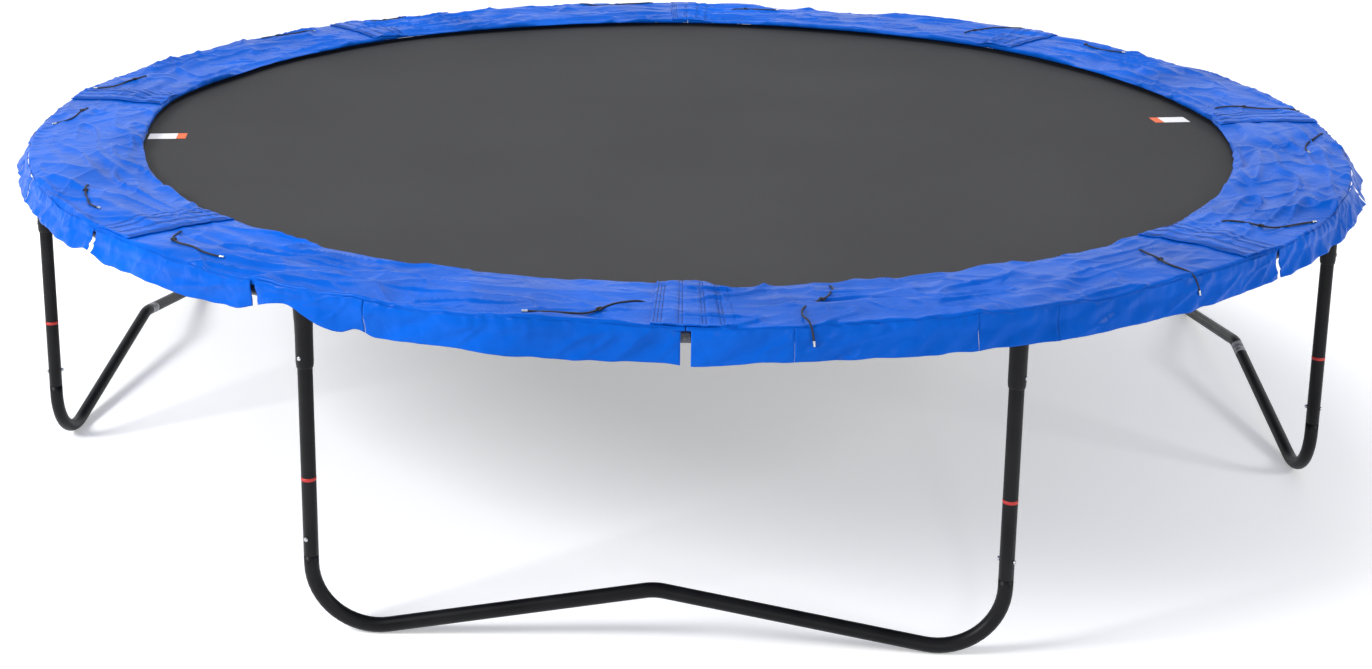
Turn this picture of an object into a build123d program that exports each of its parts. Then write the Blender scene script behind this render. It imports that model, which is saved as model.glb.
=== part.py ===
# Round garden trampoline, 4.3 m across: steel ring on four W-shaped legs, sprung mat,
# blue spring cover in eight sections with loose elastic ties. Millimetres, +Z up.
# The origin is on the ground under the centre of the mat.
import os
from math import atan2, cos, degrees, pi, radians, sin, tan
from build123d import *

os.makedirs("parts", exist_ok=True)

# ---- driving sizes -------------------------------------------------------------------
ring_radius = 2115.0        # centre line of the top ring
ring_height = 890.0         # centre line of the top ring above the ground
tube_radius = 19.0          # 38 mm steel tube for ring, uprights and bases
tube_wall = 1.5
plug_clearance = 0.15       # a swaged end inside the next tube
socket_clearance = 0.2      # an upright inside its socket
joint_gap = 0.5             # between two tube ends that butt
plug_length = 60.0          # swaged end of a ring section
leg_plug_length = 92.0      # swaged end of a base
post_spread = 24.3          # degrees from the middle of a leg to its uprights
joint_height = 208.0        # where an upright stands on its base
socket_length = 180.0       # from the ring's centre line down to the socket's mouth
foot_bend = 165.0           # centre line radius of the bend at each foot
middle_rise = 145.0         # height of the bend in the middle of a base
middle_bend = 140.0
springs_per_section = 12
spring_coil_radius = 11.0
spring_coil_length = 148.0
spring_wire_radius = 1.6
mat_thickness = 2.0
mat_margin_drop = 0.2       # the mat outside its clear middle lies this much lower
webbing_width = 38.0
ring_plate = 4.0            # thickness of a spring ring
pad_width = 336.0
pad_thickness = 17.0
pad_gap = 0.06              # degrees left between two sections' ends
pad_clearance = 0.6         # between the cover and the ring under it
skirt_drop = 71.0           # how far the skirt hangs below the top of the ring
skirt_thickness = 3.0
screw_radius, screw_head = 2.5, 5.5
bolt_radius, bolt_head = 3.0, 6.0
band_width, band_thickness = 9.0, 0.4
sticker_length, sticker_thickness = 62.0, 0.4
cord_radius = 2.5
tip_radius, tip_length = 3.2, 14.0
knot_radius = 5.2

# ---- sizes that follow from them -------------------------------------------------------
ring_top = ring_height + tube_radius
bore_radius = tube_radius - tube_wall
socket_bore = tube_radius + socket_clearance
socket_radius = tube_radius + 3.5
socket_flare = tube_radius + 6.5
socket_bottom = ring_height - socket_length
screw_height = socket_bottom + 29.0
upright_top = ring_height - tube_radius - 5.0
bolt_height = joint_height + 48.0
band_height = joint_height + 208.0
spring_outer = ring_radius - tube_radius - 22.0     # the two ends of a coil
spring_inner = spring_outer - spring_coil_length
spring_height = ring_height - 3.0
webbing_radius = spring_inner - 42.0
mat_top = spring_height - 3.0
pad_outer = ring_radius + tube_radius + 16.0
pad_inner = pad_outer - pad_width
pad_middle = pad_outer - 170.0
pad_top_outer = ring_top + 18.0
pad_top_middle = ring_top + 17.0
pad_top_inner = ring_top + 5.0
skirt_bottom = ring_top - skirt_drop
mat_face_radius = pad_inner - 174.0                 # the clear flat middle of the mat
# where each cover section starts; they're laid a little unevenly, as on the real one
cover_seams = [-88.0, -41.5, 4.0, 48.5, 91.5, 133.0, 177.0, 224.5]

leg_middles = [-90.0, 0.0, 90.0, 180.0]
post_angles = [m + s * post_spread for m in leg_middles for s in (-1, 1)]
# The bolts of the front right upright are turned a little; all the others point outward.
bolt_turn = [36.0 if i == 1 else 0.0 for i in range(8)]
section_starts = [-90.0 + 45.0 * i for i in range(8)]


def polar(radius, angle, height=0.0):
    return Vector(radius * cos(radians(angle)), radius * sin(radians(angle)), height)


def save(solid, name):
    solid.label = name
    export_step(solid, f"parts/{name}.step")


# ---- ring sections: curved tube, swaged plug at one end, welded socket, spring holes ---
for i, start in enumerate(section_starts):
    # A leg's middle is at every second joint, so the sockets sit off centre by turns.
    post = start + (post_spread if i % 2 == 0 else 45.0 - post_spread)
    gap = degrees(joint_gap / ring_radius)
    plug_angle = degrees(plug_length / ring_radius)
    with BuildPart() as ring_section:
        with BuildSketch(Plane.XZ) as ring_profile:
            with Locations((ring_radius, ring_height)):
                Circle(tube_radius)
        revolve(axis=Axis.Z, revolution_arc=45.0 - gap)
        # the socket for the upright, welded under the tube
        with BuildSketch(Plane.XZ.rotated((0, 0, post - start)).offset(0)) as socket_profile:
            with BuildLine():
                Polyline(
                    (ring_radius, socket_bottom), (ring_radius + tube_radius + 1.4, socket_bottom),
                    (ring_radius + socket_radius, socket_bottom + 16.0),
                    (ring_radius + socket_radius, ring_height - 95.0),
                    (ring_radius + socket_flare, ring_height - 28.0),
                    (ring_radius + socket_flare, ring_height - 8.0),
                    (ring_radius, ring_height - 8.0), close=True)
            make_face()
        centre = polar(ring_radius, post - start)
        revolve(axis=Axis((centre.X, centre.Y, 0), (0, 0, 1)), revolution_arc=360.0)
        # the bore of the ring tube and the bore of the socket
        with BuildSketch(Plane.XZ) as bore_profile:
            with Locations((ring_radius, ring_height)):
                Circle(bore_radius)
        revolve(axis=Axis.Z, revolution_arc=360.0, mode=Mode.SUBTRACT)
        with BuildSketch(Plane.XY.offset(socket_bottom)) as socket_bore_profile:
            with Locations((centre.X, centre.Y)):
                Circle(socket_bore)
        extrude(amount=ring_height - tube_radius - 2.0 - socket_bottom, mode=Mode.SUBTRACT)
        # the swaged plug
        with BuildSketch(Plane.XZ.rotated((0, 0, 45.0 - gap - 0.6))) as plug_profile:
            with Locations((ring_radius, ring_height)):
                Circle(bore_radius)
                Circle(bore_radius - tube_wall, mode=Mode.SUBTRACT)
        revolve(axis=Axis.Z, revolution_arc=0.6)
        with BuildSketch(Plane.XZ.rotated((0, 0, 45.0 - gap - 0.6))) as swage_profile:
            with Locations((ring_radius, ring_height)):
                Circle(bore_radius - plug_clearance)
                Circle(bore_radius - tube_wall, mode=Mode.SUBTRACT)
        revolve(axis=Axis.Z, revolution_arc=0.6 + plug_angle)
        # one hole for each spring, on the inner wall
        for k in range(springs_per_section):
            at = 45.0 * (k + 0.5) / springs_per_section
            with BuildSketch(Plane(origin=polar(ring_radius - tube_radius - 5, at, spring_height),
                                   z_dir=polar(1, at))) as spring_hole:
                Circle(4.0)
            extrude(amount=15.0, mode=Mode.SUBTRACT)
        # the screw hole through the outer wall of the socket
        turn = post - start + bolt_turn[(i + 1) % 8]
        screw_plane = Plane(origin=centre + Vector(0, 0, screw_height), z_dir=polar(1, turn))
        with BuildSketch(screw_plane) as screw_hole:
            Circle(screw_radius)
        extrude(amount=40.0, mode=Mode.SUBTRACT)
    save(ring_section.part.rotate(Axis.Z, start), f"ring_section_{i + 1}")

# ---- uprights --------------------------------------------------------------------------
for i, post in enumerate(post_angles):
    foot = polar(ring_radius, post)
    with BuildPart() as upright:
        with BuildSketch(Plane.XY.offset(joint_height)) as upright_profile:
            with Locations((foot.X, foot.Y)):
                Circle(tube_radius)
                Circle(bore_radius, mode=Mode.SUBTRACT)
        extrude(amount=upright_top - joint_height)
        with BuildSketch(Plane(origin=foot + Vector(0, 0, screw_height),
                               z_dir=polar(1, post + bolt_turn[i]))) as screw_hole:
            Circle(screw_radius)
        extrude(amount=40.0, mode=Mode.SUBTRACT)
        with BuildSketch(Plane(origin=foot + Vector(0, 0, bolt_height),
                               z_dir=polar(1, post + bolt_turn[i]))) as bolt_hole:
            Circle(bolt_radius)
        extrude(amount=40.0, both=True, mode=Mode.SUBTRACT)
    save(upright.part, f"upright_{i + 1}")

# ---- bases: one bent tube each, swaged at both ends ------------------------------------
# a base is flat: its middle bend lies between its two uprights
middle_radius = ring_radius * cos(radians(post_spread))
half_run = ring_radius * sin(radians(post_spread))
# the foot's bend turns through more than a right angle; the tube's underside touches z = 0
rise = middle_rise
for _ in range(20):
    foot_turn = pi / 2 + atan2(rise, half_run)
    corner_height = tube_radius - foot_bend * (tan(foot_turn / 2) - 1)
    rise = middle_rise - corner_height
for i, middle in enumerate(leg_middles):
    left, right = polar(ring_radius, middle - post_spread), polar(ring_radius, middle + post_spread)
    up = Vector(0, 0, 1)
    joint_plane_height = joint_height - joint_gap
    with BuildPart() as base:
        with BuildLine() as base_path:
            FilletPolyline(left + up * joint_plane_height, left + up * corner_height,
                           polar(middle_radius, middle, middle_rise),
                           right + up * corner_height, right + up * joint_plane_height,
                           radius=[foot_bend, middle_bend, foot_bend])
        with BuildSketch(Plane(origin=left + up * joint_plane_height, z_dir=(0, 0, -1))) as base_profile:
            Circle(tube_radius)
            Circle(bore_radius, mode=Mode.SUBTRACT)
        sweep()
        for post, side in ((left, 0), (right, 1)):
            with BuildSketch(Plane.XY.offset(joint_plane_height - 6.0)) as shoulder_profile:
                with Locations((post.X, post.Y)):
                    Circle(bore_radius + 0.3)
                    Circle(bore_radius - tube_wall, mode=Mode.SUBTRACT)
            extrude(amount=5.0)
            with BuildSketch(Plane.XY.offset(joint_plane_height - 6.0)) as swage_profile:
                with Locations((post.X, post.Y)):
                    Circle(bore_radius - plug_clearance)
                    Circle(bore_radius - tube_wall, mode=Mode.SUBTRACT)
            extrude(amount=leg_plug_length + 6.0)
            turn = middle + (-1, 1)[side] * post_spread + bolt_turn[2 * i + side]
            with BuildSketch(Plane(origin=post + up * bolt_height, z_dir=polar(1, turn))) as bolt_hole:
                Circle(bolt_radius)
            extrude(amount=40.0, both=True, mode=Mode.SUBTRACT)
    save(base.part, f"base_{i + 1}")

# ---- screws of the sockets, bolts of the bases, red bands -------------------------------
screws, bolts, bands = [], [], []
for i, post in enumerate(post_angles):
    foot, turn = polar(ring_radius, post), post + bolt_turn[i]
    out = polar(1, turn)
    screw_at, bolt_at = foot + Vector(0, 0, screw_height), foot + Vector(0, 0, bolt_height)
    with BuildPart() as screw:
        with BuildSketch(Plane(origin=screw_at + out * 12.0, z_dir=out)) as shank_profile:
            Circle(screw_radius)
        extrude(amount=socket_radius - 12.0)
        with BuildSketch(Plane(origin=screw_at + out * socket_radius, z_dir=out)) as head_profile:
            Circle(screw_head)
        extrude(amount=3.0)
        outer_face = screw.faces().sort_by(lambda f: f.center().dot(out))[-1]
        fillet(outer_face.edges(), radius=2.0)
    screws.append(screw.part.solid())
    with BuildPart() as bolt:
        with BuildSketch(Plane(origin=bolt_at - out * (tube_radius + 8.0), z_dir=out)) as shank_profile:
            Circle(bolt_radius)
        extrude(amount=2 * tube_radius + 8.0)
        with BuildSketch(Plane(origin=bolt_at + out * tube_radius, z_dir=out)) as head_profile:
            Circle(bolt_head)
        extrude(amount=4.0)
        with BuildSketch(Plane(origin=bolt_at - out * (tube_radius + 5.0), z_dir=out)) as nut_profile:
            RegularPolygon(radius=6.2, side_count=6)
        extrude(amount=5.0)
    bolts.append(bolt.part.solid())
    with BuildPart() as band:
        with BuildSketch(Plane.XY.offset(band_height - band_width / 2)) as band_profile:
            with Locations((foot.X, foot.Y)):
                Circle(tube_radius + band_thickness)
                Circle(tube_radius, mode=Mode.SUBTRACT)
        extrude(amount=band_width)
    bands.append(band.part.solid())
save(Compound(children=screws), "socket_screws")
save(Compound(children=bolts), "base_bolts")
save(Compound(children=bands), "red_bands")

# ---- blank stickers wrapped half round two of the base bars ------------------------------
stickers = []
for middle, side, distance in ((0.0, -1, 30.0), (180.0, -1, 26.0)):
    bend = polar(middle_radius, middle, middle_rise)
    corner = polar(ring_radius, middle + side * post_spread, corner_height)
    along = (corner - bend).normalized()
    sideways = along.cross(Vector(0, 0, 1)).normalized()
    with BuildPart() as sticker:
        sticker_plane = Plane(origin=bend + along * distance, x_dir=sideways, z_dir=along)
        with BuildSketch(sticker_plane) as sticker_profile:
            Circle(tube_radius + sticker_thickness)
            Circle(tube_radius, mode=Mode.SUBTRACT)
            with Locations((0, -0.55 * tube_radius - 20.0)):
                Rectangle(80.0, 40.0, mode=Mode.SUBTRACT)
        extrude(amount=sticker_length)
    stickers.append(sticker.part.solid())
save(Compound(children=stickers), "leg_stickers")

# ---- mat, the webbing sewn round its edge, the spring rings, two blank labels -----------
groove_radius = webbing_radius - 12.0
margin_top = mat_top - mat_margin_drop
with BuildPart() as mat:
    with BuildSketch(Plane.XY.offset(mat_top - mat_thickness)) as mat_profile:
        Circle(groove_radius)
    extrude(amount=margin_top - (mat_top - mat_thickness))
    with BuildSketch(Plane.XY.offset(margin_top)) as mat_face:
        Circle(mat_face_radius)
    extrude(amount=mat_margin_drop)
save(mat.part, "mat")

webbing_inner = webbing_radius - webbing_width
plate_bottom = mat_top - mat_thickness / 2 - ring_plate / 2
spring_count = springs_per_section * 8
with BuildPart() as webbing:
    with BuildSketch(Plane.XY.offset(plate_bottom - 1.0)) as webbing_profile:
        Circle(webbing_radius)
        Circle(webbing_inner, mode=Mode.SUBTRACT)
    extrude(amount=ring_plate + 2.0)
    # a groove all round for the mat's edge, and a deeper mouth for the spring rings
    with BuildSketch(Plane.XY.offset(mat_top - mat_thickness)) as groove_profile:
        Circle(groove_radius + 1.0)
        Circle(webbing_inner, mode=Mode.SUBTRACT)
    extrude(amount=margin_top - (mat_top - mat_thickness), mode=Mode.SUBTRACT)
    with BuildSketch(Plane.XY.offset(plate_bottom)) as mouth_profile:
        Circle(webbing_radius)
        Circle(groove_radius, mode=Mode.SUBTRACT)
    extrude(amount=ring_plate, mode=Mode.SUBTRACT)
save(webbing.part, "mat_webbing")

with BuildPart() as spring_ring:
    with BuildSketch(Plane.XY.offset(plate_bottom)) as spring_ring_profile:
        with BuildLine():
            Polyline((webbing_radius - 10, -17), (webbing_radius - 10, 17), (webbing_radius + 28, 0),
                     close=True)
        make_face()
        fillet(spring_ring_profile.vertices(), radius=4.0)
        offset(amount=-4.0, kind=Kind.INTERSECTION, mode=Mode.SUBTRACT)
    extrude(amount=ring_plate)
save(Compound(children=[spring_ring.part.solid().rotate(Axis.Z, 360.0 * (k + 0.5) / spring_count)
                        for k in range(spring_count)]), "spring_rings")

labels = []
# angle, and how far in from the cover's inner edge the middle of each label is
for angle, inset in ((-168.8, 74.0), (6.9, 106.0)):
    with BuildPart() as label:
        with BuildSketch(Plane.XY.offset(margin_top)) as label_profile:
            with PolarLocations(pad_inner - inset, 1, start_angle=angle):
                Rectangle(122.0, 72.0)
        extrude(amount=0.6)
    labels.append(label.part.solid())
save(Compound(children=labels), "mat_labels")

# ---- springs: a closed coil with a hook at each end --------------------------------------
with BuildPart() as spring:
    with BuildSketch(Plane.YZ.offset(spring_inner)) as coil_profile:
        with Locations((0, spring_height)):
            Circle(spring_coil_radius)
            Circle(spring_coil_radius - 2 * spring_wire_radius, mode=Mode.SUBTRACT)
    extrude(amount=spring_outer - spring_inner)
    for face_at, way, reach in ((spring_outer, 1, 32.0), (spring_inner, -1, 31.0)):
        # the last turn closes the end of the coil and carries the hook
        with BuildSketch(Plane.YZ.offset(face_at if way < 0 else face_at - 3.2)) as end_profile:
            with Locations((0, spring_height)):
                Circle(spring_coil_radius)
        extrude(amount=3.2)
        with BuildLine() as hook_path:
            FilletPolyline((face_at - way * 2, 0, spring_height), (face_at + way * reach, 0, spring_height),
                           (face_at + way * reach, 0, spring_height - 9.0), radius=4.0)
        hook_plane = Plane(origin=(face_at - way * 2, 0, spring_height), z_dir=(way, 0, 0))
        with BuildSketch(hook_plane) as hook_profile:
            Circle(spring_wire_radius)
        sweep()
save(Compound(children=[spring.part.solid().rotate(Axis.Z, 360.0 * (k + 0.5) / spring_count)
                        for k in range(spring_count)]), "springs")

# ---- spring cover: eight foam sections with a hanging skirt --------------------------------
for i, start in enumerate(cover_seams):
    end = cover_seams[(i + 1) % 8] + (360.0 if i == 7 else 0.0)
    with BuildPart() as pad:
        with BuildSketch(Plane.XZ) as pad_profile:
            with BuildLine():
                Polyline((pad_inner, pad_top_inner - 4.0), (pad_inner, pad_top_inner - pad_thickness + 2.0),
                         (pad_outer - 65.0, ring_top + pad_clearance),
                         (pad_outer - skirt_thickness, ring_top + pad_clearance),
                         (pad_outer - skirt_thickness, skirt_bottom), (pad_outer, skirt_bottom),
                         (pad_outer, pad_top_outer - 10.0), (pad_outer - 9.0, pad_top_outer))
                ThreePointArc((pad_outer - 9.0, pad_top_outer), (pad_middle, pad_top_middle),
                              (pad_inner + 6.0, pad_top_inner))
                Line((pad_inner + 6.0, pad_top_inner), (pad_inner, pad_top_inner - 4.0))
            make_face()
        revolve(axis=Axis.Z, revolution_arc=end - start - pad_gap)
    save(pad.part.rotate(Axis.Z, start + pad_gap / 2), f"pad_{i + 1}")


def pad_surface(radius):
    """Height of the top of the cover: a smooth curve through its three heights."""
    a, b, c = pad_inner + 6.0, pad_middle, pad_outer - 9.0
    return (pad_top_inner * (radius - b) * (radius - c) / ((a - b) * (a - c))
            + pad_top_middle * (radius - a) * (radius - c) / ((b - a) * (b - c))
            + pad_top_outer * (radius - a) * (radius - b) / ((c - a) * (c - b)))


# ---- elastic ties: (distance in from the cover's outer edge, angle, lift above the cover) ---
ties = [
    [(172, -90.7, -8), (164, -91.1, 6), (144, -91.9, 6), (104, -93.0, 6), (58, -94.2, 6),
     (42, -95.6, 6), (38, -97.0, 6), (22, -98.2, 6)],
    [(308, -77.0, -8), (296, -76.8, 6), (260, -77.0, 6), (226, -77.5, 6), (188, -77.9, 6), (144, -79.2, 6),
     (94, -80.4, 6), (46, -80.6, 6), (4, -80.4, 8), (-8, -80.2, -16), (-7, -80.1, -46)],
    [(244, -49.2, -8), (232, -49.4, 6), (200, -49.9, 6), (146, -50.8, 6), (92, -51.7, 6),
     (44, -52.0, 6), (4, -51.8, 8), (-8, -51.6, -16), (-7, -51.4, -44)],
    [(228, -37.9, -8), (216, -37.8, 6), (188, -37.5, 6), (138, -37.6, 6), (90, -37.0, 6),
     (64, -35.6, 6), (46, -34.1, 6), (22, -32.8, 6)],
    [(22, -3.0, -8), (30, -3.4, 6), (46, -4.2, 6), (70, -5.5, 6), (98, -6.9, 6),
     (114, -8.4, 6), (122, -9.9, 6), (116, -11.2, 6)],
    [(284, 7.2, -8), (274, 7.5, 6), (246, 7.9, 6), (200, 7.4, 6), (152, 6.6, 6),
     (102, 5.8, 6), (50, 5.5, 6), (10, 5.1, 6)],
    [(26, 40.4, -8), (38, 40.2, 6), (66, 39.8, 6), (104, 38.7, 6), (106, 37.1, 6),
     (88, 35.6, 6), (54, 34.4, 6)],
    [(224, 54.2, -8), (212, 54.0, 6), (184, 53.8, 6), (132, 53.2, 6), (86, 52.0, 6),
     (50, 50.6, 6), (22, 49.2, 6)],
    [(154, 86.2, -8), (150, 85.8, 6), (138, 84.9, 6), (130, 83.3, 6), (134, 81.6, 6),
     (124, 80.0, 6)],
    [(20, 105.4, -8), (24, 105.0, 6), (36, 104.1, 6), (52, 102.6, 6), (54, 100.9, 6),
     (44, 99.2, 6), (40, 97.5, 6), (26, 96.0, 6)],
    [(14, 132.0, -8), (20, 131.6, 6), (38, 130.9, 6), (60, 129.6, 6), (50, 128.0, 6),
     (28, 126.6, 6), (44, 125.2, 6)],
    [(20, 147.4, -8), (28, 147.1, 6), (52, 146.4, 6), (92, 145.3, 6), (106, 143.7, 6),
     (98, 142.0, 6), (80, 140.6, 6)],
    [(128, 169.8, -8), (124, 170.2, 6), (114, 171.1, 6), (98, 172.7, 6), (86, 174.4, 6),
     (68, 175.8, 6), (32, 176.6, 6)],
    [(104, -175.9, -8), (106, -175.5, 6), (108, -174.6, 6), (98, -173.0, 6), (104, -171.3, 6),
     (88, -169.9, 6), (42, -169.7, 6)],
    [(130, -147.6, -8), (124, -147.2, 6), (112, -146.3, 6), (94, -144.7, 6), (84, -143.0, 6),
     (68, -141.4, 6), (76, -139.8, 6)],
    [(158, -130.6, -8), (148, -130.3, 6), (126, -129.7, 6), (86, -128.8, 6), (60, -127.3, 6),
     (70, -125.6, 6), (60, -124.0, 6), (72, -122.6, 6)],
]
knots, tips = [], []
for i, bends in enumerate(ties):
    points = [polar(pad_outer - inset, a, pad_surface(pad_outer - inset) + lift) for inset, a, lift in bends]
    radii = []
    for before, here, after in zip(points, points[1:], points[2:]):
        turn = radians((here - before).get_angle(after - here))
        shorter = min((here - before).length, (after - here).length)
        radii.append(min(0.45 * shorter / tan(turn / 2), 400.0))
    with BuildPart() as tie_cord:
        with BuildLine() as tie_path:
            FilletPolyline(*points, radius=radii)
        with BuildSketch(Plane(origin=points[0], z_dir=points[1] - points[0])) as tie_profile:
            Circle(cord_radius)
        sweep()
    save(tie_cord.part, f"tie_cord_{i + 1}")
    length = tie_path.wires()[0].length
    print(f"tie_cord_{i + 1}: radii {[round(r) for r in radii]} length {length:.0f} "
          f"volume over section x length {tie_cord.part.volume / (pi * cord_radius ** 2 * length):.3f}")
    middle = len(points) // 2
    with BuildPart() as knot:
        with Locations(Location((points[middle] + points[middle - 1]) * 0.5)):
            Sphere(knot_radius)
    knots.append(knot.part.solid())
    end = (points[-1] - points[-2]).normalized()
    with BuildPart() as tip:
        with BuildSketch(Plane(origin=points[-1] - end * 8.0, z_dir=end)) as tip_profile:
            Circle(tip_radius)
        extrude(amount=tip_length)
    tips.append(tip.part.solid())
save(Compound(children=knots), "cord_knots")
save(Compound(children=tips), "cord_tips")
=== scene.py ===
# Round garden trampoline, 4.3 m across: black W legs, grey steel ring, woven mat on
# 96 springs, glossy blue cover in eight overlapping sections with loose elastic ties.
from math import atan2, cos, hypot, pi, radians, sin, tan
import bmesh
import bpy
import numpy as np
from mathutils import Matrix, Vector


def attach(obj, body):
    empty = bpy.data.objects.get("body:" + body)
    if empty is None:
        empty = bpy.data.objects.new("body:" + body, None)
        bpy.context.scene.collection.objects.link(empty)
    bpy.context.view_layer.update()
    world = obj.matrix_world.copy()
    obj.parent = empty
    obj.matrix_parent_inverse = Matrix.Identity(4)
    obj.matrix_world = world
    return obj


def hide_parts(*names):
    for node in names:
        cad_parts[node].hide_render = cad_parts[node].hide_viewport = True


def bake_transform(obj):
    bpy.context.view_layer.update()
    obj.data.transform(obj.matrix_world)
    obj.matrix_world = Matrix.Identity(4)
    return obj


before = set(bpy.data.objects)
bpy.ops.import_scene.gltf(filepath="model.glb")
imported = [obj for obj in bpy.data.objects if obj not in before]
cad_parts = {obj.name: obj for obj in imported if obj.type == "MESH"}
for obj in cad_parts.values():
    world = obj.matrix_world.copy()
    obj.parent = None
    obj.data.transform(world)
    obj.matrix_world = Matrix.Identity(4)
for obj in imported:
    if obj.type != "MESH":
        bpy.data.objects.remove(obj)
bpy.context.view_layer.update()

# ---------------------------------------------------------------- studio
# A plain white floor that curves up 5 m behind, soft boxes above and in front, and a camera
# a little above the mat. The raised part hides everything from a camera placed beyond it.
MM = 0.001
scene = bpy.context.scene
scene.view_settings.view_transform = "Standard"
camera = bpy.data.objects.new("camera", bpy.data.cameras.new("camera"))
scene.collection.objects.link(camera)
scene.camera = camera
camera.matrix_world = (Matrix.Translation((0.186, -6.116, 2.366))
                       @ Matrix.Rotation(radians(3.296), 4, "Z")
                       @ Matrix.Rotation(radians(90 - 12.644), 4, "X")
                       @ Matrix.Rotation(radians(0.443), 4, "Z"))
camera.data.sensor_width = 36
camera.data.lens = 47.83
camera.data.shift_x = 0.0360
camera.data.shift_y = -0.1773
camera.data.clip_end = 200


def colour(code):
    """A linear colour from an sRGB hex code."""
    parts = [int(code[i:i + 2], 16) / 255 for i in (1, 3, 5)]
    return [c / 12.92 if c <= 0.04045 else ((c + 0.055) / 1.055) ** 2.4 for c in parts] + [1.0]


def new_material(name, code, roughness, metallic=0.0, **more):
    """A material with its Principled shader set; more are sockets by name, with _ for a space."""
    material = bpy.data.materials.new(name)
    material.use_nodes = True
    shader = material.node_tree.nodes["Principled BSDF"]
    shader.inputs["Base Color"].default_value = colour(code)
    shader.inputs["Roughness"].default_value = roughness
    shader.inputs["Metallic"].default_value = metallic
    for key, value in more.items():
        shader.inputs[key.replace("_", " ")].default_value = value
    return material, shader


def add_piece(name, bm, materials, smooth=True):
    """Turns a bmesh in millimetres into an object at the origin."""
    bmesh.ops.recalc_face_normals(bm, faces=bm.faces[:])
    bmesh.ops.scale(bm, vec=(MM, MM, MM), verts=bm.verts[:])
    mesh = bpy.data.meshes.new(name)
    bm.to_mesh(mesh)
    bm.free()
    mesh.polygons.foreach_set("use_smooth", [smooth] * len(mesh.polygons))
    for material in materials:
        mesh.materials.append(material)
    made = bpy.data.objects.new(name, mesh)
    scene.collection.objects.link(made)
    return made


white_floor, _ = new_material("white studio floor", "#EDEDEE", 0.7, Emission_Color=colour("#FFFFFF"),
                              Emission_Strength=0.36)
bm = bmesh.new()
edge = bm.edges.new([bm.verts.new((x, -14000, 0)) for x in (-16000, 16000)])
made = bmesh.ops.extrude_edge_only(bm, edges=[edge])["geom"]
bmesh.ops.translate(bm, vec=(0, 19200, 0), verts=[g for g in made if isinstance(g, bmesh.types.BMVert)])
made = bmesh.ops.spin(bm, geom=[g for g in made if isinstance(g, bmesh.types.BMEdge) and g.is_boundary
                                and g.calc_length() > 30000],
                      cent=(0, 5200, 2600), axis=(1, 0, 0), angle=pi / 2, steps=12)["geom_last"]
made = bmesh.ops.extrude_edge_only(bm, edges=[g for g in made if isinstance(g, bmesh.types.BMEdge)])["geom"]
bmesh.ops.translate(bm, vec=(0, 0, 12000), verts=[g for g in made if isinstance(g, bmesh.types.BMVert)])
add_piece("floor", bm, [white_floor])

world = bpy.data.worlds.new("studio")
scene.world = world
world.use_nodes = True
world.node_tree.nodes["Background"].inputs["Color"].default_value = colour("#F6F8FC")
world.node_tree.nodes["Background"].inputs["Strength"].default_value = 0.38
for name, place, aim, size, power in (
        ("overhead softbox", (0, 1.5, 5.5), (0, 0, 0.9), (5.0, 3.0), 200),
        ("left softbox", (-5.2, -4.2, 4.0), (0, -0.8, 0.8), (1.8, 1.8), 430),
        ("right softbox", (6.0, -3.6, 3.2), (0.8, -0.6, 0.7), (1.4, 1.4), 130),
        ("front softbox", (1.2, -7.6, 1.9), (0, -2.1, 0.85), (0.5, 0.5), 45)):
    lamp = bpy.data.lights.new(name, "AREA")
    lamp.shape = "RECTANGLE"
    lamp.size, lamp.size_y = size
    lamp.energy = power
    made = bpy.data.objects.new(name, lamp)
    made.matrix_world = (Matrix.Translation(place)
                         @ (Vector(aim) - Vector(place)).to_track_quat("-Z", "Y").to_matrix().to_4x4())
    scene.collection.objects.link(made)

# ---------------------------------------------------------------- elastic ties
# Sixteen loose black braided elastics, one each side of every overlap of the cover, knotted
# half way and tipped with crimped tin. They lie on the vinyl, so its shape comes first.
PAD_INNER, PAD_OUTER = 1814.0, 2150.0
COVER_SEAMS = [-88.0, -41.5, 4.0, 48.5, 91.5, 133.0, 177.0, 224.5, 272.0]
FLAP_EDGES = [-90.2, -45.6, 0.3, 44.8, 93.6, 137.0, 180.8, 229.0]
ARC, RIM_ARC = 34.6, 37.5       # millimetres for each degree, along the cover's middle and its rim
FLAP_LIFT, FLAP_WIDTH, FLAP_TAPER = 5.6, 185.0, 60.0
SKIRT_TOP, SKIRT_HANG = 921.0, 84.0
cloth_heights = np.random.default_rng(11).random((256, 256)) * 2 - 1


def polar(radius, angle, height=0.0):
    return np.array((radius * cos(radians(angle)), radius * sin(radians(angle)), height))


def noise(x, y, seed=0):
    """Smooth noise from -1 to 1, one bump per unit."""
    x, y = np.broadcast_arrays(np.asarray(x, float) + 17.3 * seed, np.asarray(y, float) + 41.7 * seed)
    ix, iy = np.floor(x).astype(int), np.floor(y).astype(int)
    fx, fy = x - ix, y - iy
    fx, fy = fx * fx * (3 - 2 * fx), fy * fy * (3 - 2 * fy)
    a, b = cloth_heights[ix & 255, iy & 255], cloth_heights[(ix + 1) & 255, iy & 255]
    c, d = cloth_heights[ix & 255, (iy + 1) & 255], cloth_heights[(ix + 1) & 255, (iy + 1) & 255]
    return (a * (1 - fx) + b * fx) * (1 - fy) + (c * (1 - fx) + d * fx) * fy


def plain_cover(radius):
    """Height of the top of the cover before any fold."""
    a, b, c = PAD_INNER + 6.0, 1980.0, PAD_OUTER - 9.0
    return (914.0 * (radius - b) * (radius - c) / ((a - b) * (a - c))
            + 926.0 * (radius - a) * (radius - c) / ((b - a) * (b - c))
            + 927.0 * (radius - a) * (radius - b) / ((c - a) * (c - b)))


def away_from(angle, edge):
    """Millimetres along the cover from an angle, positive where the angle is larger."""
    return ((np.asarray(angle, float) - edge + 180) % 360 - 180) * ARC


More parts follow.
